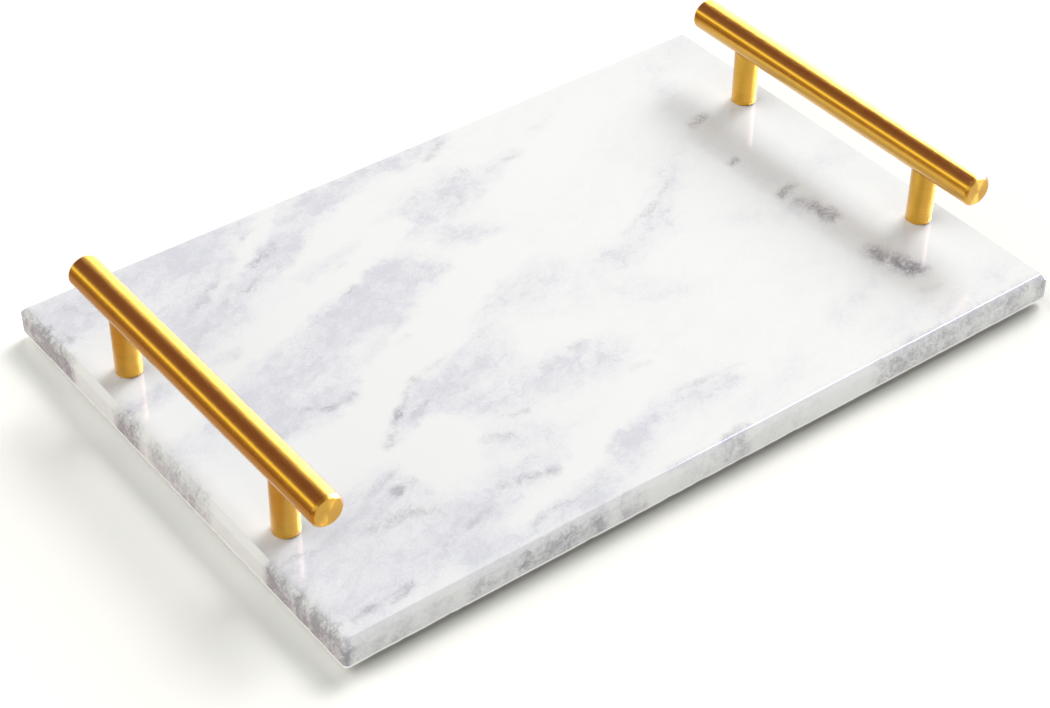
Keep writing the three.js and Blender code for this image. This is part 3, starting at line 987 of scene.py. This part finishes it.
def lit_panel():
    """A big glowing panel that stands on the right and leans towards the tray. It throws no light:
    only the polish mirrors it, and a quarter as brightly in a mirror image of a mirror image."""
    material = bpy.data.materials.new("lit_panel")
    material.use_nodes = True
    tree = material.node_tree
    tree.nodes.clear()
    path = tree.nodes.new("ShaderNodeLightPath").outputs
    once = maths(tree, "LESS_THAN", path["Ray Depth"], 1.5)
    mirrored = maths(tree, "LESS_THAN", path["Diffuse Depth"], 0.5)
    strength = maths(tree, "MULTIPLY", mirrored, maths(tree, "MULTIPLY_ADD", once, 0.75, 0.25))
    glow = node(tree, "ShaderNodeEmission", {"Color": PANEL_GLOW, "Strength": strength})
    end = node(tree, "ShaderNodeOutputMaterial")
    tree.links.new(glow.outputs[0], end.inputs["Surface"])
    top, bottom = PANEL_TOP * MM, PANEL_FOOT * MM
    front, rear = PANEL_FRONT * MM, PANEL_REAR * MM
    corners = [top + front, top + rear, bottom + rear, bottom + front]
    made = mesh_object("lit_panel", corners, [(0, 1, 2, 3)], material, smooth=False)
    made.visible_camera = made.visible_diffuse = made.visible_shadow = False
    material.cycles.emission_sampling = "NONE"


def edge_light():
    """A low lamp in front that lights only the slab, to lift its front edge."""
    made = sun("edge_lamp", EDGE_STRENGTH, EDGE_SPREAD, EDGE_AZIMUTH, EDGE_ELEVATION)
    lit = bpy.data.collections.new("lit_by_edge_lamp")
    lit.objects.link(bpy.data.objects["polished_slab"])
    made.light_linking.receiver_collection = lit


def pointing(azimuth, elevation):
    """The direction at this angle from +Y towards +X, and this angle up."""
    flat = math.cos(elevation)
    return Vector((flat * math.sin(azimuth), flat * math.cos(azimuth), math.sin(elevation)))


def spot_of_sky(tree, direction, azimuth, elevation, inner, outer):
    """Whether a direction is in a round part of the sky: 1 up to the inner angle from its middle
    and 0 past the outer one, all angles in degrees."""
    middle = pointing(math.radians(azimuth), math.radians(elevation))
    cosine = vector_maths(tree, "DOT_PRODUCT", direction, middle)
    return ramp(tree, cosine, math.cos(math.radians(outer)), math.cos(math.radians(inner)))


def window_of_sky(tree, angle, limits, blur):
    """Whether an angle is between two limits in degrees: 1 inside and 0 outside, softly."""
    low, high = limits
    above = ramp(tree, angle, math.radians(low - blur), math.radians(low + blur))
    below = ramp(tree, angle, math.radians(high + blur), math.radians(high - blur))
    return maths(tree, "MULTIPLY", above, below)


def studio():
    """The surroundings. The camera sees plain white. They light the pieces a little from all round
    and more from the left behind. The polish mirrors a pale room with a dark ceiling, a dark low
    wall on the left with a bright strip in it, and the table."""
    world = bpy.data.worlds.new("studio")
    bpy.context.scene.world = world
    world.use_nodes = True
    tree = world.node_tree
    background = tree.nodes["Background"]
    direction = tree.nodes.new("ShaderNodeTexCoord").outputs["Generated"]
    axes = node(tree, "ShaderNodeSeparateXYZ", {0: direction}).outputs
    x, y, z = axes[0], axes[1], axes[2]
    lean = maths(tree, "ARCTAN2", x, z)
    lobe = spot_of_sky(tree, direction, azimuth=-65, elevation=42, inner=15, outer=55)
    fill = mixed(tree, lobe, ROUND_LIGHT, LEFT_LIGHT)

    # Above the horizon: bands that run parallel to the handles. The ceiling fades out close to the
    # horizon, and the low wall and its strip fade out towards the front, because the slab's top
    # would mirror them in low views.
    risen = ramp(tree, z, 0.06, 0.22)
    rearward = ramp(tree, y, 0.05, 0.35)
    ceiling = maths(tree, "MULTIPLY", window_of_sky(tree, lean, CEILING_SPAN, 4), risen)
    sky = mixed(tree, ceiling, ROOM, CEILING)
    low_wall = maths(tree, "MULTIPLY", window_of_sky(tree, lean, LOW_WALL_SPAN, 4), rearward)
    sky = mixed(tree, low_wall, sky, LOW_WALL)
    strip = maths(tree, "MULTIPLY", window_of_sky(tree, lean, STRIP_SPAN, 3), rearward)
    sky = mixed(tree, strip, sky, STRIP)

    # Below it: the table, darker and warmer on the left, with a dark edge there.
    left = ramp(tree, x, 0.15, -0.15)
    table = mixed(tree, left, TABLE, LEFT_TABLE)
    table = mixed(tree, window_of_sky(tree, lean, TABLE_EDGE_SPAN, 3), table, TABLE_EDGE)
    gloss = mixed(tree, ramp(tree, z, 0.01, -0.01), sky, table)

    # Rays that have bounced off a dull surface see the plain light instead of the bands.
    path = tree.nodes.new("ShaderNodeLightPath").outputs
    first = maths(tree, "LESS_THAN", path["Diffuse Depth"], 0.5)
    mirrored = maths(tree, "MULTIPLY", path["Is Glossy Ray"], first)
    light = mixed(tree, mirrored, fill, gloss)
    seen = mixed(tree, path["Is Camera Ray"], light, WHITE)
    tree.links.new(seen, background.inputs["Color"])


def camera():
    """A camera at the photograph's viewing angle, from the front on the left and above."""
    data = bpy.data.cameras.new("camera")
    data.sensor_width = SENSOR_WIDTH
    data.lens = LENS
    made = bpy.data.objects.new("camera", data)
    bpy.context.scene.collection.objects.link(made)
    made.location = (CAMERA_X, CAMERA_Y, SLAB_TOP + CAMERA_OVER_SLAB)
    ahead = pointing(CAMERA_AZIMUTH, -CAMERA_FALL)
    level = ahead.to_track_quat("-Z", "Y")
    made.rotation_mode = "QUATERNION"
    made.rotation_quaternion = level @ Matrix.Rotation(CAMERA_ROLL, 3, "Z").to_quaternion()
    bpy.context.scene.camera = made


bpy.context.scene.view_settings.view_transform = "Standard"
camera()
floor()
studio()
sun("key", KEY_STRENGTH, KEY_SPREAD, glossy=True)
sun("wash", WASH_STRENGTH, WASH_SPREAD)
lit_panel()
build_tray()
edge_light()
